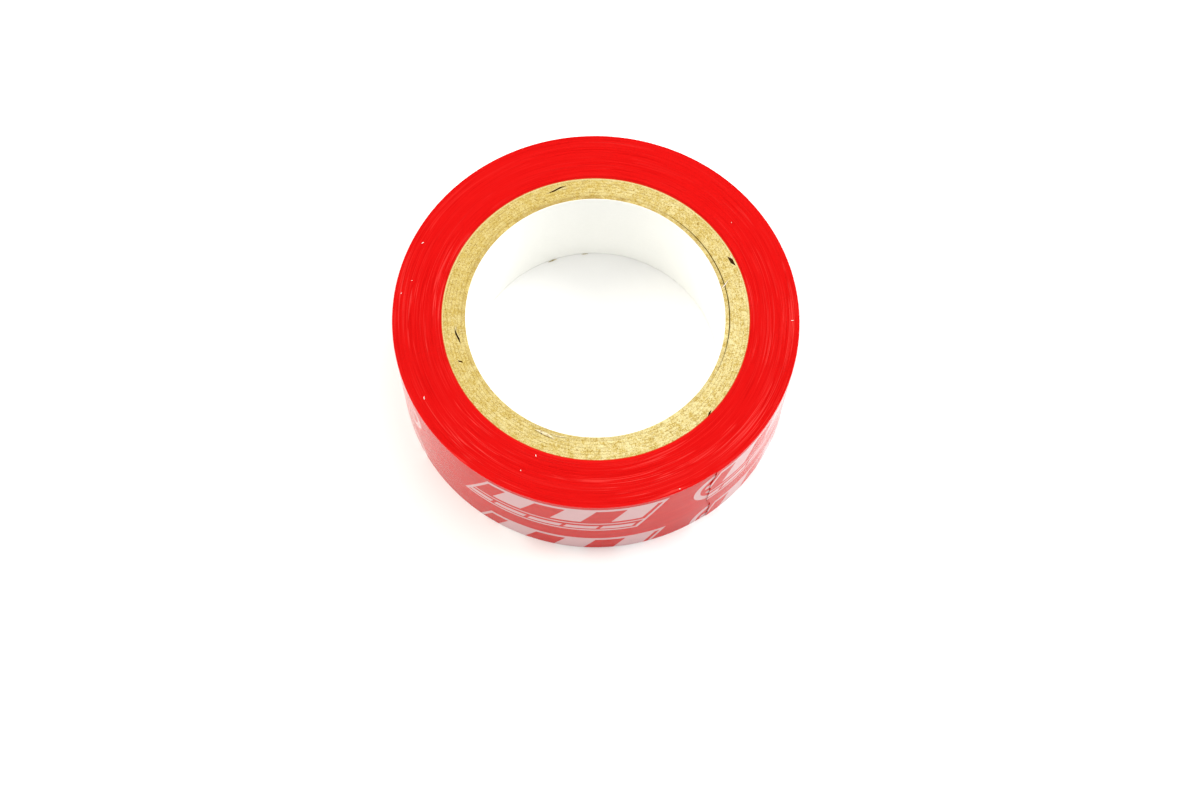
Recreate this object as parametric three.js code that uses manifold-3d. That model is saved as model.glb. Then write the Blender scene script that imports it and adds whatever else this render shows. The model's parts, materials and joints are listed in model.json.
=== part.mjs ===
// A roll of PVC electrical tape on a spirally wound board core, lying flat on one end.
// Millimetres, +Z up along the roll's axis, origin in the middle of the lower end face.
// The core is made of paper plies, each a helical strip whose two edges meet at a slanted butt seam.
// The tape is one ribbon. Its bonded inner turns are one solid, the last full turn lies round them, and
// the free end is a tail in two lengths, hinged where the ribbon leaves the roll and again at its tab.
import * as THREE from "three";
import { mergeVertices } from "three/addons/utils/BufferGeometryUtils.js";
import Module from "manifold-3d";

// Driving dimensions.
const TAPE_WIDTH = 19;
const ROLL_RADIUS = 30.2; // over the outermost turn, at the free end
const CORE_BORE_RADIUS = 19.4;
const FILM_THICKNESS = 0.11;
const ADHESIVE_THICKNESS = 0.02; // left as the clearance under each turn
const TURN_PITCH = FILM_THICKNESS + ADHESIVE_THICKNESS;
const GLUE_LINE = 0.02; // between two plies of the core, and between the core and the tape
const CORE_RECESS = 0.1; // how far each end of the core sits inside the tape's end face
const TURN_RECESS = 0.05; // how far the last turn's edges sit inside the end face
const FREE_END_ANGLE = -56; // degrees round +Z, where the ribbon ends
const TAIL_ARC = 30; // degrees of the roll that the free tail covers
const TAB_ARC = 12; // the last part of the tail, which curls by itself
const TOOTH_COUNT = 14; // along the serrated cut that ends the ribbon
const TOOTH_DEPTH = 0.6;
const LENGTH_GAP = 0.03; // between two lengths of the ribbon, where one ends and the next begins
const SEAM_LEAD = 110; // height in which a ply's slanted seam would go once round
const SEGMENTS = 120; // flats round a full circle, shared by every ring so that their flats line up

// The plies from the bore outwards. The seam angle is taken at the upper end of the core.
const PLIES = [
  { name: "core_liner_ply", thickness: 0.5, seamAngle: 17, seamGap: 0.4 },
  { name: "core_board_ply_1", thickness: 0.5, seamAngle: -111, seamGap: 0.6 },
  { name: "core_board_ply_2", thickness: 0.5, seamAngle: -169, seamGap: 2.6 },
  { name: "core_board_ply_3", thickness: 0.5, seamAngle: -158, seamGap: 0.6 },
  { name: "core_board_ply_4", thickness: 0.5, seamAngle: 107, seamGap: 3.2 },
  { name: "core_board_ply_5", thickness: 0.5, seamAngle: 25, seamGap: 1.9 },
  { name: "core_wrap_ply", thickness: 0.28, seamAngle: -42, seamGap: 1.2 },
];

const STEP_ANGLE = 360 / SEGMENTS;
const radians = THREE.MathUtils.degToRad;

const wasm = await Module();
wasm.setup();

const linerPaper = new THREE.MeshStandardMaterial({ color: 0xf1efe8, roughness: 0.9, metalness: 0 });
const coreBoard = new THREE.MeshStandardMaterial({ color: 0xd8bf78, roughness: 0.95, metalness: 0 });
const tapeFilm = new THREE.MeshStandardMaterial({ color: 0xdf1217, roughness: 0.35, metalness: 0 });
const printedFilm = new THREE.MeshStandardMaterial({ color: 0xd21c22, roughness: 0.2, metalness: 0 });

// ---- helpers ----

// A point at a radius, an angle in degrees round +Z and a height.
function polar(radius, angle, height) {
  return [radius * Math.cos(radians(angle)), radius * Math.sin(radians(angle)), height];
}

function meshOf(name, geometry, material) {
  const mesh = new THREE.Mesh(geometry, material);
  mesh.name = name;
  return mesh;
}

function solidOf(geometry) {
  const bare = geometry.clone();
  bare.deleteAttribute("normal");
  bare.deleteAttribute("uv");
  const merged = mergeVertices(bare);
  return new wasm.Manifold(
    new wasm.Mesh({
      numProp: 3,
      vertProperties: merged.attributes.position.array,
      triVerts: new Uint32Array(merged.index.array),
    }),
  );
}

function geometryOf(solid) {
  const { vertProperties, triVerts } = solid.getMesh();
  const geometry = new THREE.BufferGeometry();
  geometry.setAttribute("position", new THREE.BufferAttribute(vertProperties, 3));
  geometry.setIndex(new THREE.BufferAttribute(triVerts, 1));
  geometry.computeVertexNormals();
  return geometry;
}

// Joins closed sections, each a ring of points in the same order, into one body with a cap at either end.
// Each ring turns clockwise as seen from the next one, and its second half runs back beside its first.
function loft(sections) {
  const size = sections[0].length;
  const positions = sections.flat(2);
  const index = [];
  for (let row = 0; row < sections.length - 1; row++) {
    for (let k = 0; k < size; k++) {
      const a = row * size + k;
      const b = row * size + ((k + 1) % size);
      index.push(a, a + size, b, b, a + size, b + size);
    }
  }
  const last = (sections.length - 1) * size;
  for (let k = 0; k < size / 2 - 1; k++) {
    const across = size - 1 - k;
    index.push(k, k + 1, across, across, k + 1, across - 1);
    index.push(last + k, last + across, last + k + 1);
    index.push(last + across, last + across - 1, last + k + 1);
  }
  const geometry = new THREE.BufferGeometry();
  geometry.setAttribute("position", new THREE.Float32BufferAttribute(positions, 3));
  geometry.setIndex(index);
  geometry.computeVertexNormals();
  return geometry;
}

// ---- the core ----

// A plain tube whose flats start at the ribbon's free end, so that all rings share their corners.
function tube(innerRadius, outerRadius, low, high) {
  const profile = [
    new THREE.Vector2(innerRadius, low),
    new THREE.Vector2(outerRadius, low),
    new THREE.Vector2(outerRadius, high),
    new THREE.Vector2(innerRadius, high),
    new THREE.Vector2(innerRadius, low),
  ];
  const geometry = new THREE.LatheGeometry(profile, SEGMENTS);
  geometry.rotateX(Math.PI / 2);
  geometry.rotateZ(radians(FREE_END_ANGLE + 90));
  return geometry;
}

// The slanted gap between the two edges of a ply, as a body that cuts right through its wall.
function seamCutter(innerRadius, outerRadius, seamAngle, seamGap, low, high) {
  const margin = 0.3;
  const rows = 14;
  const halfArc = THREE.MathUtils.radToDeg(seamGap / 2 / innerRadius);
  const sections = [];
  for (let row = 0; row <= rows; row++) {
    const height = low - margin + ((high - low + 2 * margin) * row) / rows;
    const middle = seamAngle - ((high - height) / SEAM_LEAD) * 360;
    sections.push([
      polar(innerRadius - margin, middle - halfArc, height),
      polar(innerRadius - margin, middle + halfArc, height),
      polar(outerRadius + margin, middle + halfArc, height),
      polar(outerRadius + margin, middle - halfArc, height),
    ]);
  }
  return loft(sections);
}

function makeCore() {
  const core = new THREE.Group();
  const low = CORE_RECESS;
  const high = TAPE_WIDTH - CORE_RECESS;
  let radius = CORE_BORE_RADIUS;
  for (const { name, thickness, seamAngle, seamGap } of PLIES) {
    const outer = radius + thickness;
    const ring = solidOf(tube(radius, outer, low, high));
    const seam = solidOf(seamCutter(radius, outer, seamAngle, seamGap, low, high));
    const paper = name === "core_liner_ply" ? linerPaper : coreBoard;
    core.add(meshOf(name, geometryOf(ring.subtract(seam)), paper));
    radius = outer + GLUE_LINE;
  }
  return core;
}

// ---- the tape ----

// The radius of the ribbon's outer face at an arc measured back from its free end, in degrees.
function ribbonRadius(arc) {
  return ROLL_RADIUS - (TURN_PITCH * arc) / 360;
}

// A length of the ribbon, from one arc back from the free end to a larger one.
function ribbon(fromArc, toArc) {
  const low = TURN_RECESS;
  const high = TAPE_WIDTH - TURN_RECESS;
  const steps = Math.round((toArc - fromArc) / STEP_ANGLE);
  const sections = [];
  for (let step = 0; step <= steps; step++) {
    const arc = fromArc + ((toArc - fromArc) * step) / steps;
    const angle = FREE_END_ANGLE + arc;
    const outer = ribbonRadius(arc);
    const inner = outer - FILM_THICKNESS;
    sections.push([
      polar(outer, angle, low),
      polar(outer, angle, high),
      polar(inner, angle, high),
      polar(inner, angle, low),
    ]);
  }
  return loft(sections);
}

// The tab that ends the ribbon in a serrated cut: rows run along the roll's axis, tooth by tooth.
function tab(toArc) {
  const low = TURN_RECESS;
  const high = TAPE_WIDTH - TURN_RECESS;
  const toothArc = THREE.MathUtils.radToDeg(TOOTH_DEPTH / ROLL_RADIUS);
  const steps = Math.round(toArc / STEP_ANGLE);
  const rows = 2 * TOOTH_COUNT;
  const sections = [];
  for (let row = 0; row <= rows; row++) {
    const height = low + ((high - low) * row) / rows;
    const fromArc = row % 2 ? 0 : toothArc;
    const outerLine = [];
    const innerLine = [];
    for (let step = 0; step <= steps; step++) {
      const arc = fromArc + ((toArc - fromArc) * step) / steps;
      const outer = ribbonRadius(arc);
      outerLine.push(polar(outer, FREE_END_ANGLE + arc, height));
      innerLine.push(polar(outer - FILM_THICKNESS, FREE_END_ANGLE + arc, height));
    }
    sections.push([...innerLine, ...outerLine.reverse()]);
  }
  return loft(sections);
}

// The bonded turns under the last one: round inside, and outside a spiral with one step in it.
function innerTurns(startArc) {
  const bore = [];
  const rim = [];
  const core = PLIES.reduce((sum, ply) => sum + ply.thickness + GLUE_LINE, CORE_BORE_RADIUS);
  for (let step = 0; step <= SEGMENTS; step++) {
    const arc = startArc + step * STEP_ANGLE;
    const point = polar(ribbonRadius(arc + 360), FREE_END_ANGLE + arc, 0);
    rim.push(new THREE.Vector2(point[0], point[1]));
    if (step < SEGMENTS) {
      const inside = polar(core, FREE_END_ANGLE + arc, 0);
      bore.push(new THREE.Vector2(inside[0], inside[1]));
    }
  }
  const outline = new THREE.Shape(rim);
  outline.holes.push(new THREE.Path(bore));
  return new THREE.ExtrudeGeometry(outline, { depth: TAPE_WIDTH, bevelEnabled: false, curveSegments: 1 });
}

function makeTape() {
  const tape = new THREE.Group();
  const gapArc = THREE.MathUtils.radToDeg(LENGTH_GAP / ROLL_RADIUS);
  tape.add(meshOf("tape_winding", innerTurns(TAIL_ARC), tapeFilm));
  tape.add(meshOf("tape_last_turn", ribbon(TAIL_ARC, TAIL_ARC + 360 - gapArc), printedFilm));
  tape.add(meshOf("tape_tail", ribbon(TAB_ARC, TAIL_ARC - gapArc), printedFilm));
  tape.add(meshOf("tape_tail_tab", tab(TAB_ARC - gapArc), printedFilm));
  return tape;
}

const roll = new THREE.Group();
roll.add(makeCore());
roll.add(makeTape());

export default roll;
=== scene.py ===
"""A roll of printed PVC electrical tape on a spirally wound board core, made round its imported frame.

Run as a script. It is laid out as an add-on: property groups hold the sizes and colours, one operator
makes each group of pieces, and a panel lists the operators. Everything is in metres, +Z up the roll's axis.
"""
import json
import math

import bmesh
import bpy
import numpy as np
from bpy.props import FloatProperty, FloatVectorProperty, IntProperty, PointerProperty
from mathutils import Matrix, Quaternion, Vector


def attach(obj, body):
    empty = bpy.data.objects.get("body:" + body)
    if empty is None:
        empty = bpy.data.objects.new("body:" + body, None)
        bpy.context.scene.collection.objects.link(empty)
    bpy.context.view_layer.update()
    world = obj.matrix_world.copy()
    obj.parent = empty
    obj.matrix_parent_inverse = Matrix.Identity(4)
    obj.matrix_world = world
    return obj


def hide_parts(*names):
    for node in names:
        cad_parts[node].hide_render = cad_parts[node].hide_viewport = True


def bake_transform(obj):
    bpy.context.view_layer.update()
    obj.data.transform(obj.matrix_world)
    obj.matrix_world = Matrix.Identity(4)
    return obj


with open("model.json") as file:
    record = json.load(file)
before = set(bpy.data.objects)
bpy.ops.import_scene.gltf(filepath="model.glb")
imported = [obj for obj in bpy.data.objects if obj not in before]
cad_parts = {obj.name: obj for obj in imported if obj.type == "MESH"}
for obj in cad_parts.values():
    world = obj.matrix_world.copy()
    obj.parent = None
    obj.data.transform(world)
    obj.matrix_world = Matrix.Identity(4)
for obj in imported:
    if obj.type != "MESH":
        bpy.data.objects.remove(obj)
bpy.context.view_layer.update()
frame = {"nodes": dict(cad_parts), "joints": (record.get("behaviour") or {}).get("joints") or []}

bl_info = {
    "name": "Electrical tape roll",
    "version": (1, 0, 0),
    "blender": (4, 5, 0),
    "location": "3D View > Sidebar > Tape roll",
    "description": "Builds a roll of printed PVC tape on a board core",
    "category": "Object",
}

MM = 0.001
FULL_TURN = 360.0
# The core's plies, each with the share of its seam's length over which its two edges lean past each other.
CORE_PLIES = {
    "core_liner_ply": 0.70,
    "core_board_ply_1": 0.60,
    "core_board_ply_2": 0.66,
    "core_board_ply_3": 0.60,
    "core_board_ply_4": 0.66,
    "core_board_ply_5": 0.36,
    "core_wrap_ply": 0.50,
}

# Shreds of paper: radius, angle round the roll, lean from the radial direction, length, width, bend
# sideways, and how brown each one is. Lengths in millimetres, angles in degrees.
LINT = [
    (28.5, 157.0, 60, 0.45, 0.11, 0.05, 0.0),
    (27.9, 170.0, 20, 0.16, 0.10, 0.00, 0.1),
    (29.1, 174.6, 85, 0.22, 0.11, 0.02, 0.0),
    (29.1, -0.4, 5, 0.45, 0.09, 0.04, 0.0),
    (28.3, -150.6, 70, 0.52, 0.12, 0.06, 0.0),
    (23.8, -110.0, 35, 0.34, 0.13, 0.03, 0.0),
    (26.7, -112.5, 10, 0.20, 0.10, 0.00, 0.1),
    (29.7, -65.0, 80, 0.24, 0.10, 0.02, 0.2),
    (25.6, 38.0, 25, 0.16, 0.08, 0.02, 0.3),
]
TORN_SHREDS = [
    (19.90, 15.8, 38, 1.90, 0.09, 0.10, 0.0),
    (20.15, -110.0, 84, 3.20, 0.42, -0.12, 0.75),
    (19.90, -104.5, 93, 2.20, 0.26, 0.10, 0.85),
    (20.75, -172.5, 88, 0.80, 0.10, 0.05, 0.8),
    (21.55, 104.0, 93, 0.90, 0.10, -0.04, 0.8),
    (22.50, 26.5, 92, 0.80, 0.12, 0.05, 0.3),
]
BORE_SHREDS = [
    (19.22, 112.0, 92, 1.50, 0.16, 0.05, 0.9),
    (19.25, 96.0, 91, 1.10, 0.10, 0.03, 0.9),
]
SHRED_THICKNESS = 0.05 * MM
SHRED_SINK = 0.02 * MM  # how deep a shred's underside sits in what it lies on
BORE_SHRED_HEIGHT = 0.1 * MM  # of the brown fibres over the floor

# The corners of each kind of piece: columns run round the roll, layers out from its axis and rows up it.
PLY_GRID = {"Layers": 4, "Rows": 14}
WINDING_GRID = {"Layers": 3, "Rows": 2}
LAST_TURN_GRID = {"Layers": 3, "Rows": 5}
TAIL_GRID = {"Columns": 49, "Layers": 3, "Rows": 9}
TAB_GRID = {"Columns": 33, "Layers": 3, "Rows": 97}
SHRED_GRID = {"Columns": 13, "Layers": 4, "Rows": 2}
SHARP_EDGE = math.radians(35)

# The soft lamps: azimuth and elevation in degrees, distance from the roll and width in metres.
LAMP_PLACES = {
    "right_lamp": (20.0, 40.0, 0.7, 0.45),
    "left_lamp": (164.0, 40.0, 0.7, 0.45),
    "top_lamp": (60.0, 76.0, 0.9, 0.9),
}
WHITE = (1.0, 1.0, 1.0)
SENSOR_WIDTH = 36.0


# ---- what the frame says ----


def node_points(node):
    """A node's corners as radius, angle in degrees and height."""
    points = np.array([corner.co for corner in frame["nodes"][node].data.vertices], float)
    radius = np.hypot(points[:, 0], points[:, 1])
    angle = np.degrees(np.arctan2(points[:, 1], points[:, 0]))
    return radius, angle, points[:, 2]


def ring_of(node):
    """A ring's inner radius, outer radius, lower end and upper end."""
    radius, _, height = node_points(node)
    return radius.min(), radius.max(), height.min(), height.max()


def pivot_of(joint_name):
    """The place of a joint's axis."""
    joint = next(j for j in frame["joints"] if j["name"] == joint_name)
    return Vector(joint["pos_m"])


def angle_of(point):
    return math.degrees(math.atan2(point.y, point.x))


def polar(radius, angle, height=0.0):
    """The point at a radius, an angle in degrees round +Z and a height."""
    return Vector((radius * math.cos(math.radians(angle)), radius * math.sin(math.radians(angle)), height))


BORE_RADIUS, LINER_BACK, _, CORE_TOP = ring_of("core_liner_ply")
CORE_RADIUS = ring_of("core_wrap_ply")[1]
RIM_RADIUS = ring_of("tape_tail_tab")[1]
TAPE_WIDTH = ring_of("tape_winding")[3]
FREE_END = float(node_points("tape_tail_tab")[1].min())
PEEL_ARC = angle_of(pivot_of("tail_peel")) - FREE_END
TAB_ARC = angle_of(pivot_of("tab_curl")) - FREE_END


# ---- settings ----


def length(name, description, millimetres):
    return FloatProperty(
        name=name,
        description=description,
        default=millimetres * MM,
        precision=5,
        unit="LENGTH",
    )


def degrees(name, description, value):
    return FloatProperty(
        name=name, description=description, default=math.radians(value), subtype="ANGLE", unit="ROTATION"
    )


def share(name, description, value):
    return FloatProperty(name=name, description=description, default=value, min=0.0, subtype="FACTOR")


def colour(name, description, value):
    return FloatVectorProperty(
        name=name, description=description, default=value, size=3, min=0.0, max=1.0, subtype="COLOR"
    )


def power(name, description, watts):
    return FloatProperty(name=name, description=description, default=watts, min=0.0, unit="POWER")


class RibbonSizes(bpy.types.PropertyGroup):
    """Sizes of the tape ribbon and of how it is wound"""

    film: length("Film", "Thickness of the PVC film", 0.11)
    pitch: length("Turn pitch", "Thickness of the film with its adhesive", 0.13)
    wander: length("Wander", "How far a turn's edges wander along the roll's axis", 0.045)
    wander_arc: degrees("Wander length", "Arc over which the wander changes", 34)
    crown: length("Crown", "How far the middle of a cut edge stands proud", 0.012)
    sink: length("Sink", "How far the first turn's edges sit inside the end faces", 0.12)
    sink_arc: degrees("Sink arc", "Length of ribbon over which the sink fades away", 900)
    tear: length("Tear", "How far the torn free end wanders along the ribbon", 1.5)
    tooth: length("Tooth", "Height of a torn tooth at the free end", 0.35)
    tooth_pitch: length("Tooth pitch", "Distance between the teeth of the free end", 1.3)
    steps_round: IntProperty(name="Steps round", description="Steps of the ribbon in one turn", default=192)


class PrintSizes(bpy.types.PropertyGroup):
    """Sizes of the generic pattern printed along the tape"""

    row_pitch: length("Row pitch", "Distance between two rows across the tape", 13.4)
    row_foot: length("Row foot", "Height of the lower edge of the upper row", 8.4)
    row_height: length("Row height", "Height of the printed row", 9.6)
    cell_start: length("Cell start", "Distance from the free end to a slanted frame", 151.5)
    cell_pitch: length("Cell pitch", "Distance from one slanted frame to the next", 77.0)
    frame_width: length("Frame width", "Length of a slanted frame along its foot", 27.2)
    lozenge_start: length("Lozenge start", "Distance from a slanted frame to the next rounded bar", 36.0)
    lozenge_width: length("Lozenge width", "Length of the rounded bar", 31.0)
    lean: share("Lean", "Sideways run of a slanted line per unit of height", 0.48)
    line: length("Line", "Width of the printed lines", 0.5)


class CoreSizes(bpy.types.PropertyGroup):
    """Sizes of the cut board of the core"""

    fray: length("Fray", "How far fibres stand out of a cut end of a ply", 0.05)
    seam_lead: length("Seam lead", "Height in which a ply's slanted seam would go once round", 110)
    lift: length("Lift", "How far the liner's upper end has come off the board", 0.12)
    lift_middle: degrees("Lift middle", "Angle of the middle of the lifted stretch", 18)
    lift_reach: degrees("Lift reach", "Half of the arc over which the liner has lifted", 52)
    flare: length("Flare", "How far the liner's upper rim leans into the bore", 0.13)
    foot: length("Foot", "How far the liner's lower rim stays off the floor", 0.05)
    columns: IntProperty(name="Columns", description="Steps of a ply round the core", default=540)


class RollColours(bpy.types.PropertyGroup):
    """Colours of the roll's pieces"""

    film: colour("Film", "Cut edges of the red PVC film", (0.50, 0.0052, 0.0048))
    # partly real scuffs and partly painted sheen on the cut edges
    film_scuff_sheen: colour("Film, scuffed and sheen", "Scuffed cut edges of the film, and painted sheen on them", (0.66, 0.060, 0.052))
    # painted shade: a darker red for cut edges that sit a little deeper between their neighbours
    film_shaded: colour("Film, painted shade", "Painted shade on cut edges that sit a little deeper", (0.36, 0.0015, 0.0015))
    film_face: colour("Film face", "The broad face of the film", (0.51, 0.0090, 0.0045))
    face_deep: colour("Film face, deep", "Darker clouds in the film's broad face", (0.45, 0.0060, 0.0030))
    ink: colour("Ink", "The printed pattern", (0.56, 0.36, 0.365))
    adhesive: colour("Adhesive", "The tacky inner face of the tape", (0.32, 0.012, 0.012))
    board: colour("Board", "Kraft board", (0.385, 0.280, 0.068))
    board_pale: colour("Board, pale", "Pale fibres in the board", (0.55, 0.48, 0.24))
    board_dark: colour("Board, dark", "Dark flecks in the board", (0.17, 0.095, 0.016))
    # painted shade: the near-black colour put inside slits and on steep faces of the board
    slit_shade: colour("Slit, painted shade", "Painted shade inside a slit in the board", (0.060, 0.014, 0.002))
    # painted shade: the dark colour of the gap where the core's outer rim meets the tape
    rim_shade: colour("Rim, painted shade", "Painted shade along the join of the core's outer rim and the tape", (0.30, 0.050, 0.012))
    paper: colour("Paper", "White face of the liner", (0.85, 0.85, 0.82))
    lint: colour("Lint", "Paper lint", (0.74, 0.66, 0.60))


class StageSizes(bpy.types.PropertyGroup):
    """The floor, the light and the camera"""

    floor_width: length("Floor width", "Width of the floor", 4000)
    floor_colour: colour("Floor", "The pale floor", (0.84, 0.837, 0.825))
    sky: FloatProperty(name="Sky", description="Strength of the soft light from all round", default=0.95)
    right_lamp: power("Right lamp", "Power of the soft lamp on the right", 4.0)
    left_lamp: power("Left lamp", "Power of the soft lamp on the left", 3.2)
    left_tint: colour("Left tint", "Colour of the lamp on the left", (1.0, 0.95, 0.84))
    top_lamp: power("Top lamp", "Power of the large soft lamp overhead", 2.6)
    camera_side: length("Camera side", "Camera's place along X", 0.0)
    camera_front: length("Camera front", "Camera's place along Y", -112.34)
    camera_height: length("Camera height", "Camera's height", 269.35)
    aim_side: length("Aim side", "Place along X of the middle of the view", 0.97)
    aim_front: length("Aim front", "Place along Y of the middle of the view", -6.31)
    camera_roll: degrees("Camera roll", "Turn of the camera round its line of sight", 1.82)
    lens: FloatProperty(name="Lens", description="Focal length on a 36 mm sensor", default=55.57)


# ---- node trees as expressions ----


class Wire:
    """A socket that can be used in sums: each operator adds a Math node to its tree."""

    def __init__(self, sketch, socket):
        self.sketch = sketch
        self.socket = socket

    def maths(self, operation, *values):
        return self.sketch.add("ShaderNodeMath", {"operation": operation}, dict(enumerate(values)))["Value"]

    def __add__(self, other):
        return self.maths("ADD", self, other)

    __radd__ = __add__

    def __sub__(self, other):
        return self.maths("SUBTRACT", self, other)

    def __rsub__(self, other):
        return self.maths("SUBTRACT", other, self)

    def __mul__(self, other):
        return self.maths("MULTIPLY", self, other)

    __rmul__ = __mul__

    def __truediv__(self, other):
        return self.maths("DIVIDE", self, other)

    def __rtruediv__(self, other):
        return self.maths("DIVIDE", other, self)

    def __mod__(self, other):
        return self.maths("FLOORED_MODULO", self, other)

    def __pow__(self, other):
        return self.maths("POWER", self, other)

    def __gt__(self, other):
        return self.maths("GREATER_THAN", self, other)

    def __lt__(self, other):
        return self.maths("LESS_THAN", self, other)

    def __abs__(self):
        return self.maths("ABSOLUTE", self)

    def least(self, other):
        return self.maths("MINIMUM", self, other)

    def most(self, other):
        return self.maths("MAXIMUM", self, other)

    def sine(self):
        return self.maths("SINE", self)

    def cosine(self):
        return self.maths("COSINE", self)

    def ramp(self, low, high, to_low=0.0, to_high=1.0):
        """Goes smoothly from to_low to to_high as the value goes from low to high, and stays there."""
        return self.sketch.add(
            "ShaderNodeMapRange",
            {"interpolation_type": "SMOOTHSTEP"},
            {"Value": self, "From Min": low, "From Max": high, "To Min": to_low, "To Max": to_high},
        )["Result"]


class Made:
    """A node, whose outputs are read by name."""

    def __init__(self, sketch, node):
        self.sketch = sketch
        self.node = node

    def __getitem__(self, name):
        socket = next(s for s in self.node.outputs if s.name == name and s.enabled)
        return Wire(self.sketch, socket)


class Sketch:
    """A node tree drawn by code."""

    def __init__(self, tree):
        self.tree = tree

    def add(self, kind, settings=None, sockets=None):
        """Adds a node: its settings first, then the values or links of its sockets by name or number."""
        node = self.tree.nodes.new(kind)
        for name, value in (settings or {}).items():
            setattr(node, name, value)
        for key, value in (sockets or {}).items():
            if isinstance(key, int):
                socket = node.inputs[key]
            else:
                socket = next(s for s in node.inputs if s.name == key and s.enabled)
            if isinstance(value, Wire):
                self.tree.links.new(value.socket, socket)
            else:
                socket.default_value = value
        return Made(self, node)

    def vector(self, x, y, z):
        return self.add("ShaderNodeCombineXYZ", None, {"X": x, "Y": y, "Z": z})["Vector"]

    def parts(self, vector):
        """The three parts of a vector."""
        split = self.add("ShaderNodeSeparateXYZ", None, {"Vector": vector})
        return split["X"], split["Y"], split["Z"]

    def place(self):
        """A point's place in metres, in the frame that all the pieces share."""
        return self.add("ShaderNodeTexCoord")["Object"]

    def attribute(self, name):
        """A value that the piece's own mesh holds."""
        return self.add("ShaderNodeAttribute", {"attribute_name": name})["Fac"]

    def noise(self, vector, scale, detail=2.0, roughness=0.5):
        return self.add(
            "ShaderNodeTexNoise",
            {"noise_dimensions": "3D"},
            {"Vector": vector, "Scale": scale, "Detail": detail, "Roughness": roughness},
        )["Fac"]

    def mix(self, share_of_second, first, second):
        """A colour between two, each of them a wire or three numbers."""
        ends = [c if isinstance(c, Wire) else (*c, 1.0) for c in (first, second)]
        return self.add(
            "ShaderNodeMix",
            {"data_type": "RGBA", "clamp_factor": True},
            {"Factor": share_of_second, "A": ends[0], "B": ends[1]},
        )["Result"]


# ---- materials ----


def new_material(name):
    """An empty material and the sketch of its node tree."""
    material = bpy.data.materials.new(name)
    material.use_nodes = True
    material.node_tree.nodes.clear()
    return material, Sketch(material.node_tree)


def finish_material(sketch, varying, fixed, height=None, bump_distance=0.0, bump_strength=1.0):
    """Ends a material in a Principled shader: varying inputs by wire, fixed ones on its own sockets."""
    sockets = dict(fixed)
    sockets.update(varying)
    if height is not None:
        sockets["Normal"] = sketch.add(
            "ShaderNodeBump",
            None,
            {"Strength": bump_strength, "Distance": bump_distance, "Height": height},
        )["Normal"]
    shader = sketch.add("ShaderNodeBsdfPrincipled", None, sockets)
    sketch.add("ShaderNodeOutputMaterial", None, {"Surface": shader["BSDF"]})


def round_coordinates(sketch, round_scale, radial_scale, height_scale):
    """Object coordinates that run round the roll, out from its axis and up, each with its own scale."""
    x, y, z = sketch.parts(sketch.place())
    radius = (x * x + y * y) ** 0.5
    out_and_up = radius * radial_scale + z * height_scale
    return sketch.vector(x / radius * round_scale, y / radius * round_scale, out_and_up)


def radius_from_axis(sketch):
    """How far a point lies from the roll's axis."""
    x, y, _ = sketch.parts(sketch.place())
    return (x * x + y * y) ** 0.5


def far_share(sketch, radius):
    """Runs from -1 to 1 across a circle of this radius, along Y."""
    _, y, _ = sketch.parts(sketch.place())
    return y / radius


def dimmed(value, level):
    """A colour made darker by a factor."""
    return tuple(part * level for part in value)


def ribbon_coordinates(sketch):
    """Millimetres along the ribbon from its free end, and up it, from the ribbon's own UV map."""
    run, rise, _ = sketch.parts(sketch.add("ShaderNodeUVMap", {"uv_map": "UVMap"})["UV"])
    return run * (1.0 / MM), rise * (1.0 / MM)


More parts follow.
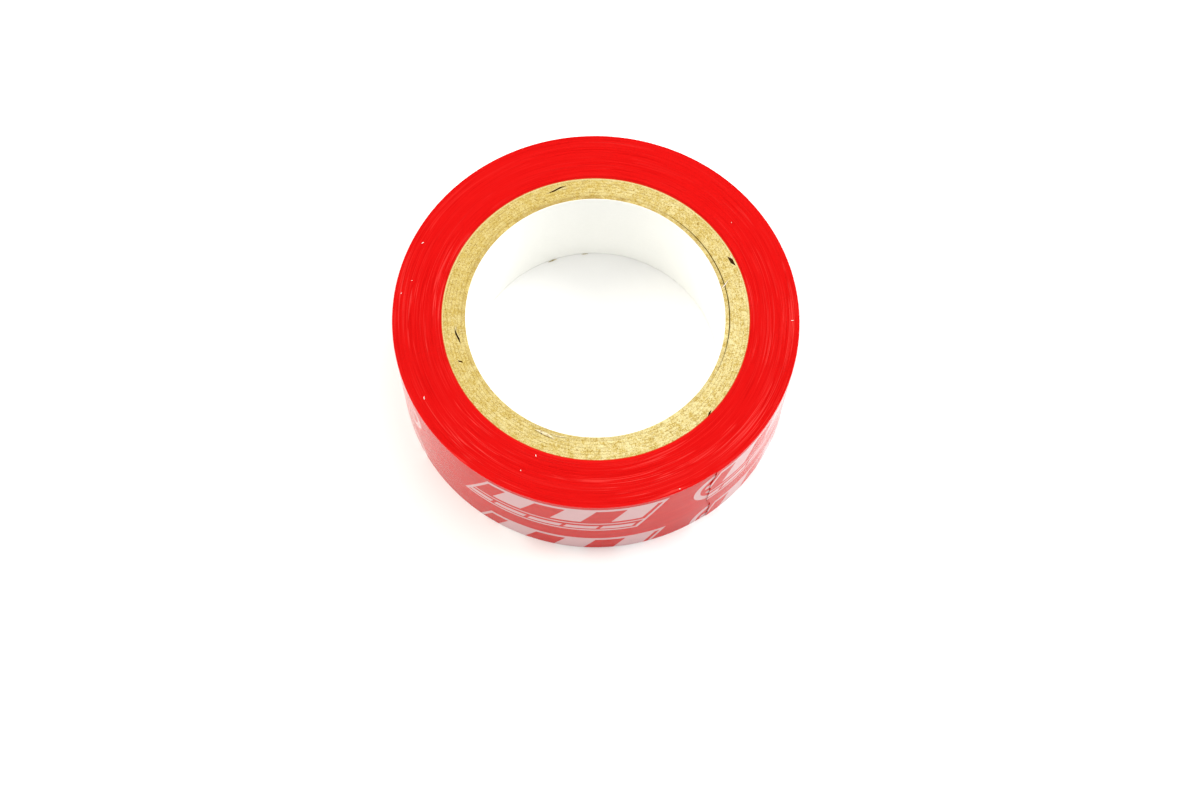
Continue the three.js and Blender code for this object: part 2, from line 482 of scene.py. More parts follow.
def make_edge_material(colours):
    """Cut edges of the wound film: streaks that follow the turns, pale scuffs with painted sheen that fades
    towards the far side, painted shade on edges that sit deeper, and painted shade at the join with the
    core.
    """
    material, sketch = new_material("tape_cut_edge")
    run, rise = ribbon_coordinates(sketch)
    radius = radius_from_axis(sketch)
    turn_tone = sketch.noise(sketch.vector(run * 0.10, rise * 0.02, 0.0), 1.0, 2.0, 0.6)
    fine_tone = sketch.noise(round_coordinates(sketch, 3.6, 9500.0, 0.0), 1.0, 1.0, 0.5)
    broad_tone = sketch.noise(round_coordinates(sketch, 0.9, 900.0, 0.0), 1.0, 2.0, 0.5)
    slow_tone = sketch.noise(round_coordinates(sketch, 1.1, 160.0, 30.0), 1.0, 2.0, 0.5)
    line_tone = sketch.noise(round_coordinates(sketch, 0.7, 2300.0, 0.0), 1.0, 1.0, 0.5)
    broken = sketch.noise(round_coordinates(sketch, 3.4, 1100.0, 0.0), 1.0, 2.0, 0.5)
    line = abs(line_tone - 0.5).ramp(0.030, 0.008) * broken.ramp(0.44, 0.56)
    streak = (line + (turn_tone * 0.2 + fine_tone * 0.8).ramp(0.56, 0.68) * 0.4).least(1.0)
    # painted sheen: the pale streaks and scuffs are strongest on the near side and fade towards the far
    # side
    painted_sheen_side = far_share(sketch, RIM_RADIUS).ramp(0.75, -0.1, 0.25, 1.0)
    rubbed = broad_tone.ramp(0.48, 0.72) * 0.06
    scuff_and_sheen = (streak * slow_tone.ramp(0.32, 0.62, 0.3, 1.0) + rubbed) * painted_sheen_side
    # painted shade: fine darker lines on the cut edges, in the colour of edges that sit deeper
    shade = fine_tone.ramp(0.46, 0.32) * 0.4
    tone = sketch.mix(shade, colours.film, colours.film_shaded)
    tone = sketch.mix(scuff_and_sheen * 0.50, tone, colours.film_scuff_sheen)
    # painted shade: the first turns darken next to the core, where the join with the core lies in shade
    painted_join_shade = radius.ramp(CORE_RADIUS + 0.20 * MM, CORE_RADIUS) * 0.5
    tone = sketch.mix(painted_join_shade, tone, colours.rim_shade)
    roughness = slow_tone.ramp(0.3, 0.7, 0.42, 0.55) - streak * 0.08
    grain = sketch.noise(sketch.place(), 22000.0, 3.0, 0.6)
    finish_material(
        sketch,
        {"Base Color": tone, "Roughness": roughness},
        {"Specular IOR Level": 0.0},
        height=grain * 0.6 + turn_tone,
        bump_distance=0.02 * MM,
        bump_strength=0.5,
    )
    return material


def printed_mask(sketch, run, rise, print_sizes):
    """1 where the ink is: rows of slanted frames of plain bars, with rounded bars between them."""
    in_mm = {name: getattr(print_sizes, name) / MM for name in print_sizes.__annotations__}
    line = in_mm["line"]
    height = in_mm["row_height"]
    row = (rise - in_mm["row_foot"]) % in_mm["row_pitch"]
    cell = (run - in_mm["cell_start"]) % in_mm["cell_pitch"]
    soft = 0.05

    def within(value, low, high):
        """1 between low and high, with soft edges."""
        return value.ramp(low - soft, low + soft) * value.ramp(high + soft, high - soft)

    leaning = cell - row * print_sizes.lean
    width = in_mm["frame_width"]
    in_row = within(row, 0.0, height)
    inside = within(leaning, 0.0, width)
    sides = within(leaning, 0.0, line) + within(leaning, width - line, width)
    ends = within(row, 0.0, line) + within(row, height - line * 1.6, height)
    border = (sides * in_row + ends * inside).least(1.0)
    bar_pitch = width / 3.0
    bars = within(leaning % bar_pitch, bar_pitch * 0.36, bar_pitch * 0.86)
    bars = bars * within(row, height * 0.42, height)
    rule = within(row, height * 0.30, height * 0.34)
    dash_pitch = width / 5.0
    dashes = within((leaning + 1.2) % dash_pitch, 0.6, dash_pitch)
    dashes = dashes * within(row, height * 0.10, height * 0.22)
    slanted = (border + (bars + rule + dashes) * inside).least(1.0)

    radius = height / 2.0
    half_width = in_mm["lozenge_width"] / 2.0
    middle = abs(cell - (in_mm["lozenge_start"] + half_width))
    across = (middle - (half_width - radius)).most(0.0)
    up = row - radius
    from_spine = (across * across + up * up) ** 0.5
    outline = within(from_spine, radius - line * 2.2, radius)
    stripes = within(row % 2.3, 0.5, 1.5) * from_spine.ramp(radius * 0.62, radius * 0.60)
    rounded = (outline + stripes).least(1.0)
    return (slanted + rounded).least(1.0)


def make_film_material(colours, print_sizes):
    """Printed glossy film outside, dull adhesive inside."""
    material, sketch = new_material("printed_film")
    run, rise = ribbon_coordinates(sketch)
    outer = sketch.attribute("outer_face").ramp(0.05, 0.15)
    edge = sketch.attribute("cut_edge").ramp(0.4, 0.6)
    flow = sketch.noise(sketch.vector(run * 0.12, rise * 0.9, 0.0), 1.0, 3.0, 0.6)
    mottle = sketch.noise(sketch.vector(run * 2.2, rise * 2.2, 3.0), 1.0, 3.0, 0.7)
    ink = printed_mask(sketch, run, rise, print_sizes) * mottle.ramp(0.18, 0.36, 0.72, 0.97)
    film = sketch.mix(flow.ramp(0.35, 0.7), colours.film_face, colours.face_deep)
    front = sketch.mix(ink, film, colours.ink)
    back = sketch.mix(mottle.ramp(0.3, 0.7), colours.adhesive, colours.face_deep)
    tone = sketch.mix(outer, back, front)
    tone = sketch.mix(edge, tone, colours.film)
    scratch = sketch.noise(sketch.vector(run * 0.5, rise * 14.0, 7.0), 1.0, 4.0, 0.65)
    wave = sketch.noise(sketch.vector(run * 0.35, rise * 0.25, 11.0), 1.0, 2.0, 0.5)
    gloss = scratch.ramp(0.35, 0.75, 0.10, 0.20)
    roughness = outer * gloss + (1.0 - outer) * 0.5 + edge * 0.25
    finish_material(
        sketch,
        {"Base Color": tone, "Roughness": roughness},
        {"IOR": 1.5, "Specular IOR Level": 0.06},
        height=wave * 4.0 + scratch * 0.5 + ink * 0.25,
        bump_distance=0.03 * MM,
        bump_strength=0.6,
    )
    return material


def board_tone(sketch, colours):
    """The mottled colour of kraft board, made paler towards the right and near side by painted light, and
    the height of its fibres.
    """
    place = sketch.place()
    slow = sketch.noise(place, 55.0, 1.0, 0.5)
    cloud = sketch.noise(place, 1300.0, 4.0, 0.75)
    speck = sketch.noise(place, 5000.0, 3.0, 0.8)
    fleck = sketch.noise(place, 2100.0, 3.0, 0.7)
    layer = sketch.noise(round_coordinates(sketch, 5.0, 4500.0, 0.0), 1.0, 3.0, 0.6)
    right, far_side, _ = sketch.parts(place)
    # painted light: the board's pale share grows towards the right and the near side
    painted_light_side = ((right - far_side * 0.6) / CORE_RADIUS).ramp(-0.9, 1.1, 0.55, 1.25)
    pale_share = cloud.ramp(0.36, 0.66) * slow.ramp(0.38, 0.60, 0.7, 1.0) * painted_light_side
    tone = sketch.mix(pale_share, colours.board, colours.board_pale)
    tone = sketch.mix(layer.ramp(0.44, 0.28) * 0.15, tone, colours.board_dark)
    tone = sketch.mix(speck.ramp(0.48, 0.34) * 0.75, tone, colours.board_dark)
    tone = sketch.mix(speck.ramp(0.52, 0.64) * painted_light_side * 0.85, tone, colours.board_pale)
    tone = sketch.mix(fleck.ramp(0.36, 0.28) * 0.9, tone, colours.board_dark)
    return tone, speck * 0.9 + layer * 0.3


def worn_board(sketch, colours):
    """Board with dark glue lines between its plies, pale frayed seams, a paler band inside the outer rim on
    the far side, painted shade along the outer rim on the near side, and painted shade that makes slits and
    other steep faces nearly black.
    """
    tone, height = board_tone(sketch, colours)
    across = sketch.attribute("across_ply")
    from_seam = sketch.attribute("from_seam") / MM
    patchy = sketch.noise(round_coordinates(sketch, 9.0, 700.0, 0.0), 1.0, 3.0, 0.6)
    glue = abs(across * 2.0 - 1.0).ramp(0.55, 1.0) * patchy.ramp(0.45, 0.62)
    tone = sketch.mix(glue * 0.25, tone, colours.board_dark)
    frayed = from_seam.ramp(0.45, 0.05) * patchy.ramp(0.30, 0.50)
    tone = sketch.mix(frayed * 0.5, tone, colours.board_pale)
    radius = radius_from_axis(sketch)
    far = far_share(sketch, CORE_RADIUS).ramp(-0.7, 0.4)
    # a paler band just inside the core's outer rim, on the far side only
    pale_far_rim = radius.ramp(CORE_RADIUS - 0.40 * MM, CORE_RADIUS - 0.10 * MM) * far
    tone = sketch.mix(pale_far_rim * 0.45, tone, colours.board_pale)
    # painted shade: patches of dark colour in the gap along the core's outer rim, on the near side only
    painted_rim_shade = radius.ramp(CORE_RADIUS - 0.12 * MM, CORE_RADIUS) * (1.0 - far)
    tone = sketch.mix(painted_rim_shade * patchy.ramp(0.40, 0.58, 0.15, 0.7), tone, colours.rim_shade)
    shaded = radius.ramp(LINER_BACK + 0.60 * MM, LINER_BACK + 0.10 * MM) * far
    tone = sketch.mix(shaded * 0.12, tone, colours.board_dark)
    _, _, up = sketch.parts(sketch.add("ShaderNodeNewGeometry")["True Normal"])
    # painted shade: steep board faces and faces at a seam are painted near black; the board right behind
    # the liner, seen through the liner's seam, is painted less dark
    behind_liner = radius.ramp(LINER_BACK + 0.06 * MM, LINER_BACK + 0.20 * MM, 0.35, 0.97)
    painted_wall_shade = abs(up).ramp(0.55, 0.25).most(from_seam.ramp(0.03, 0.005))
    return sketch.mix(painted_wall_shade * behind_liner, tone, colours.slit_shade), height


def make_board_material(colours):
    """Kraft board with flecks and fibres."""
    material, sketch = new_material("kraft_board")
    tone, height = worn_board(sketch, colours)
    finish_material(
        sketch,
        {"Base Color": tone, "Roughness": height.ramp(0.4, 1.1, 0.95, 0.8)},
        {"Specular IOR Level": 0.0},
        height=height,
        bump_distance=0.08 * MM,
        bump_strength=0.7,
    )
    return material


def make_liner_material(colours):
    """White paper on the bore, with the raw ochre colour of the board on its cut ends and its back."""
    material, sketch = new_material("liner_paper")
    tone, height = board_tone(sketch, colours)
    fibre = sketch.noise(round_coordinates(sketch, 30.0, 0.0, 2600.0), 1.0, 4.0, 0.6)
    ochre_blotches = sketch.noise(round_coordinates(sketch, 7.0, 900.0, 0.0), 1.0, 3.0, 0.6)
    # darker ochre blotches on the liner's cut end, more of them towards the far side
    ochre = ochre_blotches.ramp(0.35, 0.60) * far_share(sketch, BORE_RADIUS).ramp(-0.2, 0.9, 0.20, 0.45)
    across = sketch.attribute("across_ply")
    tone = sketch.mix(ochre.most(across.ramp(0.90, 1.0) * 0.5), tone, colours.board_dark)
    white = sketch.mix(fibre.ramp(0.35, 0.7) * 0.2, colours.paper, dimmed(colours.paper, 0.93))
    cut = across.ramp(0.02, 0.12)
    finish_material(
        sketch,
        {"Base Color": sketch.mix(cut, white, tone), "Roughness": fibre.ramp(0.3, 0.7, 0.85, 0.7)},
        {"Specular IOR Level": 0.05},
        height=height * 0.5 + fibre + sketch.noise(sketch.place(), 1500.0) * 0.5,
        bump_distance=0.04 * MM,
        bump_strength=0.4,
    )
    return material


def make_lint_material(colours):
    """Paper lint, from white shreds to brown ones."""
    material, sketch = new_material("paper_lint")
    brown = sketch.attribute("brown")
    speck = sketch.noise(sketch.place(), 5000.0, 3.0, 0.7)
    white = sketch.mix(speck.ramp(0.35, 0.65), dimmed(colours.lint, 0.8), colours.lint)
    kraft = sketch.mix(speck.ramp(0.40, 0.62), dimmed(colours.board, 0.75), colours.board_pale)
    finish_material(
        sketch,
        {"Base Color": sketch.mix(brown, white, kraft)},
        {"Roughness": 0.8, "Specular IOR Level": 0.2},
        height=speck,
        bump_distance=0.05 * MM,
    )
    return material


def make_floor_material(stage):
    """A plain pale floor with a faint grain."""
    material, sketch = new_material("pale_floor")
    grain = sketch.noise(sketch.place(), 400.0, 3.0, 0.6)
    pale = stage.floor_colour
    finish_material(
        sketch,
        {"Base Color": sketch.mix(grain * 0.3, pale, dimmed(pale, 0.97))},
        {"Roughness": 0.6, "Specular IOR Level": 0.3},
    )
    return material


# ---- geometry trees ----


def new_geometry(name, inputs):
    """A geometry tree with named inputs. Returns its sketch and the wires of the inputs."""
    tree = bpy.data.node_groups.new(name, "GeometryNodeTree")
    tree.interface.new_socket(name="Geometry", in_out="OUTPUT", socket_type="NodeSocketGeometry")
    for label, kind in inputs.items():
        tree.interface.new_socket(name=label, in_out="INPUT", socket_type=kind)
    sketch = Sketch(tree)
    source = sketch.add("NodeGroupInput")
    return sketch, {label: source[label] for label in inputs}


def end_geometry(sketch, geometry, material):
    """Ends a tree in Realize Instances and Set Material."""
    real = sketch.add("GeometryNodeRealizeInstances", None, {"Geometry": geometry})["Geometry"]
    dressed = sketch.add("GeometryNodeSetMaterial", None, {"Geometry": real, "Material": material})
    sketch.add("NodeGroupOutput", None, {"Geometry": dressed["Geometry"]})


def grown(name, tree, values):
    """The plain mesh that a geometry tree makes from these input values, as an object."""
    seed = bpy.data.objects.new(name + "_seed", bpy.data.meshes.new(name + "_seed"))
    bpy.context.scene.collection.objects.link(seed)
    modifier = seed.modifiers.new("grow", "NODES")
    modifier.node_group = tree
    for item in tree.interface.items_tree:
        if item.in_out == "INPUT":
            modifier[item.identifier] = values[item.name]
    bpy.context.view_layer.update()
    depsgraph = bpy.context.evaluated_depsgraph_get()
    mesh = bpy.data.meshes.new_from_object(seed.evaluated_get(depsgraph), depsgraph=depsgraph)
    if not mesh.polygons:
        raise RuntimeError(name + " came out empty")
    bpy.data.objects.remove(seed)
    mesh.name = name
    # the primitive's own empty slot goes, so that the piece has one material
    mesh.materials.clear()
    mesh.materials.append(values["Material"])
    mesh.polygons.foreach_set("material_index", [0] * len(mesh.polygons))
    mesh.shade_smooth()
    mesh.set_sharp_from_angle(angle=SHARP_EDGE)
    piece = bpy.data.objects.new(name, mesh)
    bpy.context.scene.collection.objects.link(piece)
    return piece


def block(sketch, wires):
    """A closed block of the asked columns, layers and rows, and its place as three shares from 0 to 1."""
    cube = sketch.add(
        "GeometryNodeMeshCube",
        None,
        {"Vertices X": wires["Columns"], "Vertices Y": wires["Layers"], "Vertices Z": wires["Rows"]},
    )["Mesh"]
    x, y, z = sketch.parts(sketch.add("GeometryNodeInputPosition")["Position"])
    return cube, x + 0.5, y + 0.5, z + 0.5


def store(sketch, geometry, name, kind, domain, value):
    """The geometry with a named attribute on it."""
    return sketch.add(
        "GeometryNodeStoreNamedAttribute",
        {"data_type": kind, "domain": domain},
        {"Geometry": geometry, "Name": name, "Value": value},
    )["Geometry"]


def place_all(sketch, geometry, position):
    """The geometry with each of its points at a new place."""
    moved = sketch.add("GeometryNodeSetPosition", None, {"Geometry": geometry, "Position": position})
    return moved["Geometry"]


FLOAT = "NodeSocketFloat"
WHOLE = "NodeSocketInt"


def ribbon_tree():
    """A length of the wound ribbon, between two arcs back from its free end, with a torn end if asked."""
    sketch, wires = new_geometry(
        "wound ribbon",
        {
            "Columns": WHOLE,
            "Layers": WHOLE,
            "Rows": WHOLE,
            "Far arc": FLOAT,
            "Near arc": FLOAT,
            "Free end": FLOAT,
            "Rim radius": FLOAT,
            "Pitch": FLOAT,
            "Film": FLOAT,
            "Width": FLOAT,
            "Wander": FLOAT,
            "Wander arc": FLOAT,
            "Crown": FLOAT,
            "Sink": FLOAT,
            "Sink arc": FLOAT,
            "Hug": FLOAT,
            "Tear": FLOAT,
            "Tooth": FLOAT,
            "Tooth pitch": FLOAT,
            "Material": "NodeSocketMaterial",
        },
    )
    cube, run, out, up = block(sketch, wires)
    turn = math.tau
    rise = up * wires["Width"]
    teeth = rise / wires["Tooth pitch"]
    slow_tear = sketch.noise(sketch.vector(0.0, 0.4, teeth * 0.22), 1.0, 1.0, 0.5).ramp(0.25, 0.75)
    ragged = sketch.noise(sketch.vector(0.0, 0.0, teeth), 1.0, 4.0, 0.7)
    saw = abs(teeth % 1.0 - 0.5) * 2.0
    tear = (slow_tear * wires["Tear"] + (ragged + saw * 0.6) * wires["Tooth"]) / wires["Rim radius"]
    near = wires["Near arc"] + tear
    arc = wires["Far arc"] + (near - wires["Far arc"]) * run
    angle = wires["Free end"] + arc
    # the first turn fills what lies between the round core and its own spiral
    to_start = wires["Far arc"] - arc
    filling = wires["Hug"] * wires["Pitch"] * to_start / turn * (to_start < turn)
    radius = wires["Rim radius"] - wires["Pitch"] * arc / turn - (wires["Film"] + filling) * (1.0 - out)
    wander = sketch.noise(sketch.vector(arc / wires["Wander arc"], 0.0, 0.5), 1.0, 3.0, 0.6) - 0.5
    crown = (1.0 - abs(out * 2.0 - 1.0)) * wires["Crown"]
    end_side = (up > 0.5) * 2.0 - 1.0
    at_end = abs(up * 2.0 - 1.0) > 0.999
    inset = wires["Crown"] * 1.2
    height = inset + (wires["Width"] - inset * 2.0) * up + crown * end_side * at_end
    sunk = arc.ramp(wires["Far arc"] - wires["Sink arc"], wires["Far arc"])
    height = height + wander * wires["Wander"] * 2.0 - sunk * wires["Sink"] * end_side
    height = height.most(0.0).least(wires["Width"])
    unrolled = sketch.vector(arc * wires["Rim radius"], rise, 0.0)
    mesh = store(sketch, cube, "UVMap", "FLOAT2", "CORNER", unrolled)
    mesh = store(sketch, mesh, "outer_face", "FLOAT", "POINT", out)
    upward = abs(sketch.parts(sketch.add("GeometryNodeInputNormal")["Normal"])[2])
    mesh = store(sketch, mesh, "cut_edge", "FLOAT", "FACE", upward)
    position = sketch.vector(radius * angle.cosine(), radius * angle.sine(), height)
    end_geometry(sketch, place_all(sketch, mesh, position), wires["Material"])
    return sketch.tree


def ply_tree():
    """A wound ply: a strip bent round the core until its two edges almost meet at a slanted seam."""
    sketch, wires = new_geometry(
        "core ply",
        {
            "Columns": WHOLE,
            "Layers": WHOLE,
            "Rows": WHOLE,
            "Inner radius": FLOAT,
            "Thickness": FLOAT,
            "Low": FLOAT,
            "High": FLOAT,
            "Seam angle": FLOAT,
            "Seam arc": FLOAT,
            "Seam slant": FLOAT,
            "Scarf": FLOAT,
            "Fray": FLOAT,
            "Lift": FLOAT,
            "Lift middle": FLOAT,
            "Lift reach": FLOAT,
            "Flare": FLOAT,
            "Seed": FLOAT,
            "Material": "NodeSocketMaterial",
        },
    )
    cube, run, out, up = block(sketch, wires)
    turn = math.tau
    # rows crowd towards the two cut ends, where the fray is
    level = 0.5 - (up * math.pi).cosine() * 0.5
    down = (1.0 - level) * (wires["High"] - wires["Low"])
    by_edge = sketch.vector(level * 40.0, wires["Seed"], run.ramp(0.4, 0.6))
    edge_noise = sketch.noise(by_edge, 1.0, 3.0, 0.6) - 0.5
    scarf = wires["Seam arc"] * wires["Scarf"]
    seam = wires["Seam angle"] - down * wires["Seam slant"] - (out - 0.5) * scarf
    open_arc = (wires["Seam arc"] - scarf) * (1.0 + edge_noise * 0.5)
    angle = seam - open_arc / 2.0 - (turn - open_arc) * run
    from_middle = abs((angle - wires["Lift middle"] + math.pi) % turn - math.pi)
    lifted = from_middle.ramp(wires["Lift reach"], wires["Lift reach"] * 0.35) * level.ramp(0.55, 1.0)
    radius = wires["Inner radius"] + wires["Thickness"] * out - wires["Lift"] * lifted
    radius = radius - wires["Flare"] * (1.0 - out) * level.ramp(0.90, 1.0)
    from_seam = (1.0 - run).least(run) * turn * radius
    mesh = store(sketch, cube, "across_ply", "FLOAT", "POINT", out)
    mesh = store(sketch, mesh, "from_seam", "FLOAT", "POINT", from_seam)
    flat = sketch.vector(radius * angle.cosine(), radius * angle.sine(), wires["Seed"])
    rough = sketch.noise(flat, 3500.0, 4.0, 0.7) - 0.5
    coarse = sketch.noise(flat, 700.0, 2.0, 0.5) - 0.5
    end_side = (up > 0.5) * 2.0 - 1.0
    at_end = abs(up * 2.0 - 1.0).ramp(0.95, 1.0)
    height = wires["Low"] + (wires["High"] - wires["Low"]) * level
    height = height + end_side * at_end * wires["Fray"] * (rough * 0.7 + coarse * 1.3)
    radius = radius + at_end * wires["Fray"] * rough * 0.8
    position = sketch.vector(radius * angle.cosine(), radius * angle.sine(), height)
    end_geometry(sketch, place_all(sketch, mesh, position), wires["Material"])
    return sketch.tree


def shred_tree():
    """A bent shred of paper, thin at both ends, lying flat at a radius, an angle and a height."""
    sketch, wires = new_geometry(
        "paper shred",
        {
            "Columns": WHOLE,
            "Layers": WHOLE,
            "Rows": WHOLE,
            "Radius": FLOAT,
            "Angle": FLOAT,
            "Height": FLOAT,
            "Lean": FLOAT,
            "Length": FLOAT,
            "Width": FLOAT,
            "Thickness": FLOAT,
            "Bend": FLOAT,
            "Brown": FLOAT,
            "Seed": FLOAT,
            "Material": "NodeSocketMaterial",
        },
    )
    cube, run, out, up = block(sketch, wires)
    along = run - 0.5
    ragged = sketch.noise(sketch.vector(run * 4.0, out * 1.5, wires["Seed"]), 1.0, 3.0, 0.7)
    taper = (1.0 - along * along * 3.6) * (ragged * 1.4 + 0.3)
    forward = along * wires["Length"]
    sideways = wires["Bend"] * along * along * 4.0 + (out - 0.5) * wires["Width"] * taper
    curl = ragged * wires["Thickness"] * 2.0
    height = wires["Height"] + curl * (abs(along) * 2.0) + up * wires["Thickness"] * (taper * 0.8 + 0.2)
    turned = wires["Angle"] + wires["Lean"]
    x = wires["Radius"] * wires["Angle"].cosine() + forward * turned.cosine() - sideways * turned.sine()
    y = wires["Radius"] * wires["Angle"].sine() + forward * turned.sine() + sideways * turned.cosine()
    mesh = store(sketch, cube, "brown", "FLOAT", "POINT", wires["Brown"])
    end_geometry(sketch, place_all(sketch, mesh, sketch.vector(x, y, height)), wires["Material"])
    return sketch.tree


def joined(name, pieces):
    """One object from several, which are used up."""
    shape = bmesh.new()
    for piece in pieces:
        shape.from_mesh(piece.data)
    mesh = bpy.data.meshes.new(name)
    mesh.materials.append(pieces[0].data.materials[0])
    shape.to_mesh(mesh)
    shape.free()
    mesh.shade_smooth()
    for piece in pieces:
        bpy.data.objects.remove(piece)
    whole = bpy.data.objects.new(name, mesh)
    bpy.context.scene.collection.objects.link(whole)
    return whole


# ---- operators ----


def seam_of(node):
    """The middle angle and the arc, in degrees, of the seam in the upper end of a ply."""
    _, angle, _ = node_points(node)
    spans = []
    for face in frame["nodes"][node].data.polygons:
        if face.normal.z > 0.9:
            first = angle[face.vertices[0]]
            turned = (angle[list(face.vertices)] - first + FULL_TURN / 2.0) % FULL_TURN - FULL_TURN / 2.0
            spans.append(((first + turned.min()) % FULL_TURN, turned.max() - turned.min()))
    spans.sort()
    spans.append((spans[0][0] + FULL_TURN, 0.0))
    reached = spans[0][0]
    seam, widest = 0.0, 0.0
    for start, width in spans:
        if start - reached > widest:
            seam, widest = (start + reached) / 2.0, start - reached
        reached = max(reached, start + width)
    if not widest:
        raise RuntimeError(node + " has no seam")
    return float(seam), float(widest)


class TAPEROLL_OT_core(bpy.types.Operator):
    """Winds the plies of the board core, each with its slanted seam"""

    bl_idname = "taperoll.core"
    bl_label = "Core plies"

    def execute(self, context):
        sizes = context.scene.taperoll_core
        colours = context.scene.taperoll_colours
        tree = ply_tree()
        board = make_board_material(colours)
        liner = make_liner_material(colours)
        for number, (node, scarf) in enumerate(CORE_PLIES.items()):
            inner, outer, low, high = ring_of(node)
            seam, gap = seam_of(node)
            is_liner = node == "core_liner_ply"
            piece = grown(
                node.replace("core_", "wound_"),
                tree,
                {
                    **PLY_GRID,
                    "Columns": sizes.columns,
                    "Inner radius": inner,
                    "Thickness": outer - inner,
                    "Low": sizes.foot if is_liner else low + sizes.fray,
                    "High": high - sizes.fray,
                    "Seam angle": math.radians(seam),
                    "Seam arc": math.radians(gap),
                    "Seam slant": math.radians(FULL_TURN) / sizes.seam_lead,
                    "Scarf": scarf,
                    "Fray": sizes.fray,
                    "Lift": sizes.lift if is_liner else 0.0,
                    "Lift middle": sizes.lift_middle,
                    "Lift reach": sizes.lift_reach,
                    "Flare": sizes.flare if is_liner else 0.0,
                    "Seed": float(number),
                    "Material": liner if is_liner else board,
                },
            )
            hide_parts(node)
            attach(piece, "roll")
        return {"FINISHED"}


def ribbon_values(sizes, material, far_arc, near_arc, grid, torn=False):
    """The inputs of the ribbon tree for a stretch between two arcs in degrees back from the free end."""
    steps = round((far_arc - near_arc) / FULL_TURN * sizes.steps_round)
    return {
        "Columns": steps + 1,
        **grid,
        "Far arc": math.radians(far_arc),
        "Near arc": math.radians(near_arc),
        "Free end": math.radians(FREE_END),
        "Rim radius": RIM_RADIUS,
        "Pitch": sizes.pitch,
        "Film": sizes.film,
        "Width": TAPE_WIDTH,
        "Wander": sizes.wander,
        "Wander arc": sizes.wander_arc,
        "Crown": sizes.crown,
        "Sink": 0.0,
        "Sink arc": sizes.sink_arc,
        "Hug": 0.0,
        "Tear": sizes.tear if torn else 0.0,
        "Tooth": sizes.tooth if torn else 0.0,
        "Tooth pitch": sizes.tooth_pitch,
        "Material": material,
    }


class TAPEROLL_OT_winding(bpy.types.Operator):
    """Winds the ribbon from the core out to where the last turn begins"""

    bl_idname = "taperoll.winding"
    bl_label = "Wound turns"

    def execute(self, context):
        sizes = context.scene.taperoll_ribbon
        last_turn_end = PEEL_ARC + FULL_TURN
        depth = RIM_RADIUS - sizes.film - CORE_RADIUS
        core_arc = depth / sizes.pitch * FULL_TURN
        material = make_edge_material(context.scene.taperoll_colours)
        values = ribbon_values(sizes, material, core_arc, last_turn_end, WINDING_GRID)
        values["Sink"] = sizes.sink
        values["Hug"] = 1.0
        piece = grown("wound_turns", ribbon_tree(), values)
        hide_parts("tape_winding")
        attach(piece, "roll")
        return {"FINISHED"}


class TAPEROLL_OT_printed(bpy.types.Operator):
    """Makes the printed last turn, the tail that peels off it and the tab that ends it"""

    bl_idname = "taperoll.printed"
    bl_label = "Last turn and tail"

    def execute(self, context):
        scene = context.scene
        sizes = scene.taperoll_ribbon
        film = make_film_material(scene.taperoll_colours, scene.taperoll_print)
        tree = ribbon_tree()
        last = grown(
            "printed_last_turn",
            tree,
            ribbon_values(sizes, film, PEEL_ARC + FULL_TURN, PEEL_ARC, LAST_TURN_GRID),
        )
        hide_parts("tape_last_turn")
        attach(last, "roll")

        peel = pivot_of("tail_peel")
        mid_tail = polar(RIM_RADIUS, FREE_END + (PEEL_ARC + TAB_ARC) / 2.0, peel.z)
        free_tip = polar(RIM_RADIUS, FREE_END + TAB_ARC * 0.4, peel.z)
        tail = grown("printed_tail", tree, ribbon_values(sizes, film, PEEL_ARC, TAB_ARC, TAIL_GRID))
        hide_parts("tape_tail")
        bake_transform(tail)

        values = ribbon_values(sizes, film, TAB_ARC, 0.0, TAB_GRID, torn=True)
        tab = grown("printed_tail_tab", tree, values)
        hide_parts("tape_tail_tab")
        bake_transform(tab)
        return {"FINISHED"}


class TAPEROLL_OT_lint(bpy.types.Operator):
    """Strews the lint on the tape, the torn shreds on the core and the fibres in its bore"""

    bl_idname = "taperoll.lint"
    bl_label = "Lint and shreds"

    def execute(self, context):
        material = make_lint_material(context.scene.taperoll_colours)
        tree = shred_tree()
        groups = (
            ("paper_lint", LINT, TAPE_WIDTH),
            ("torn_shreds", TORN_SHREDS, CORE_TOP),
            ("bore_shreds", BORE_SHREDS, BORE_SHRED_HEIGHT),
        )
        for name, shreds, floor in groups:
            pieces = []
            for number, (radius, angle, lean, run, width, bend, brown) in enumerate(shreds):
                values = {
                    **SHRED_GRID,
                    "Radius": radius * MM,
                    "Angle": math.radians(angle),
                    "Height": floor - SHRED_SINK,
                    "Lean": math.radians(lean),
                    "Length": run * MM,
                    "Width": width * MM,
                    "Thickness": SHRED_THICKNESS,
                    "Bend": bend * MM,
                    "Brown": brown,
                    "Seed": float(number),
                    "Material": material,
                }
                pieces.append(grown(f"{name}_{number}", tree, values))
            piece = joined(name, pieces)
            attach(piece, "roll")
        return {"FINISHED"}


def add_lamp(name, watts, tint):
    """A round soft lamp that faces the roll from its own azimuth and elevation."""
    azimuth, elevation, distance, width = LAMP_PLACES[name]
    data = bpy.data.lights.new(name, "AREA")
    data.shape = "DISK"
    data.size = width
    data.energy = watts
    data.color = tint
    lamp = bpy.data.objects.new(name, data)
    out = distance * math.cos(math.radians(elevation))
    lamp.location = polar(out, azimuth, distance * math.sin(math.radians(elevation)))
    lamp.rotation_euler = lamp.location.to_track_quat("Z", "Y").to_euler()
    bpy.context.scene.collection.objects.link(lamp)


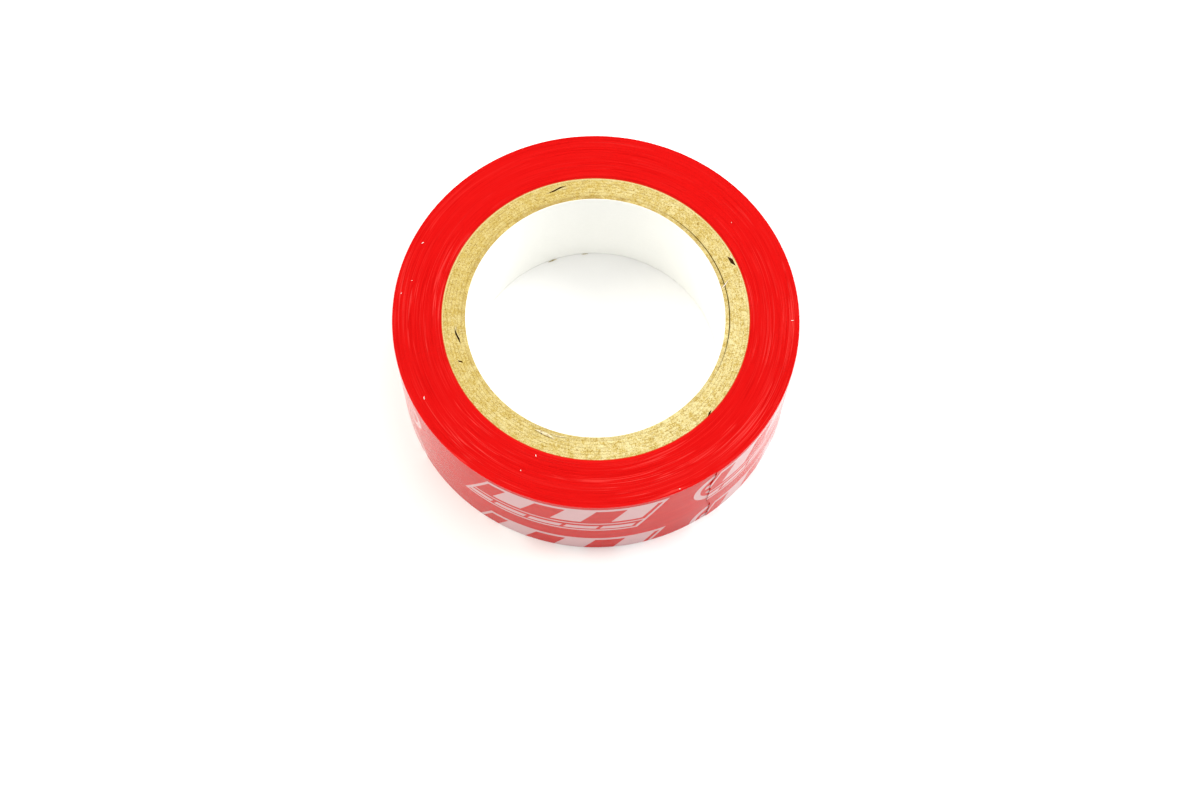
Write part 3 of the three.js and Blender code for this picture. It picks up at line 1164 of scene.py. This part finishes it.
class TAPEROLL_OT_stage(bpy.types.Operator):
    """Sets the pale floor, the soft light and the camera"""

    bl_idname = "taperoll.stage"
    bl_label = "Stage"

    def execute(self, context):
        scene = context.scene
        stage = scene.taperoll_stage
        half = stage.floor_width / 2.0
        mesh = bpy.data.meshes.new("floor")
        corners = [(-half, -half, 0.0), (half, -half, 0.0), (half, half, 0.0), (-half, half, 0.0)]
        mesh.from_pydata(corners, [], [(0, 1, 2, 3)])
        mesh.materials.append(make_floor_material(stage))
        floor = bpy.data.objects.new("floor", mesh)
        scene.collection.objects.link(floor)

        world = bpy.data.worlds.new("soft_sky")
        world.use_nodes = True
        world.node_tree.nodes.clear()
        sky = Sketch(world.node_tree)
        light = sky.add("ShaderNodeBackground", None, {"Color": (*WHITE, 1.0), "Strength": stage.sky})
        sky.add("ShaderNodeOutputWorld", None, {"Surface": light["Background"]})
        scene.world = world

        add_lamp("right_lamp", stage.right_lamp, WHITE)
        add_lamp("left_lamp", stage.left_lamp, stage.left_tint)
        add_lamp("top_lamp", stage.top_lamp, WHITE)

        camera_data = bpy.data.cameras.new("camera")
        camera_data.lens = stage.lens
        camera_data.sensor_width = SENSOR_WIDTH
        camera_data.clip_start = 10.0 * MM
        camera = bpy.data.objects.new("camera", camera_data)
        camera.location = (stage.camera_side, stage.camera_front, stage.camera_height)
        aim = Vector((stage.aim_side, stage.aim_front, 0.0)) - camera.location
        turn = aim.to_track_quat("-Z", "Y") @ Quaternion((0.0, 0.0, 1.0), stage.camera_roll)
        camera.rotation_euler = turn.to_euler()
        scene.collection.objects.link(camera)
        scene.camera = camera
        scene.view_settings.view_transform = "Standard"
        scene.view_settings.look = "None"
        return {"FINISHED"}


OPERATORS = [
    TAPEROLL_OT_core,
    TAPEROLL_OT_winding,
    TAPEROLL_OT_printed,
    TAPEROLL_OT_lint,
    TAPEROLL_OT_stage,
]


class TAPEROLL_PT_panel(bpy.types.Panel):
    """Lists the steps that make the roll"""

    bl_idname = "TAPEROLL_PT_panel"
    bl_label = "Tape roll"
    bl_space_type = "VIEW_3D"
    bl_region_type = "UI"
    bl_category = "Tape roll"

    def draw(self, context):
        for operator in OPERATORS:
            self.layout.operator(operator.bl_idname)
        for group in SETTINGS:
            settings = getattr(context.scene, group)
            box = self.layout.box()
            for name in settings.__annotations__:
                box.prop(settings, name)


SETTINGS = {
    "taperoll_ribbon": RibbonSizes,
    "taperoll_print": PrintSizes,
    "taperoll_core": CoreSizes,
    "taperoll_colours": RollColours,
    "taperoll_stage": StageSizes,
}


def register():
    for kind in [*SETTINGS.values(), *OPERATORS, TAPEROLL_PT_panel]:
        bpy.utils.register_class(kind)
    for name, kind in SETTINGS.items():
        setattr(bpy.types.Scene, name, PointerProperty(type=kind))


def unregister():
    for name in SETTINGS:
        delattr(bpy.types.Scene, name)
    for kind in reversed([*SETTINGS.values(), *OPERATORS, TAPEROLL_PT_panel]):
        bpy.utils.unregister_class(kind)


def main():
    register()
    for operator in OPERATORS:
        group, name = operator.bl_idname.split(".")
        getattr(getattr(bpy.ops, group), name)()


if __name__ == "__main__":
    main()
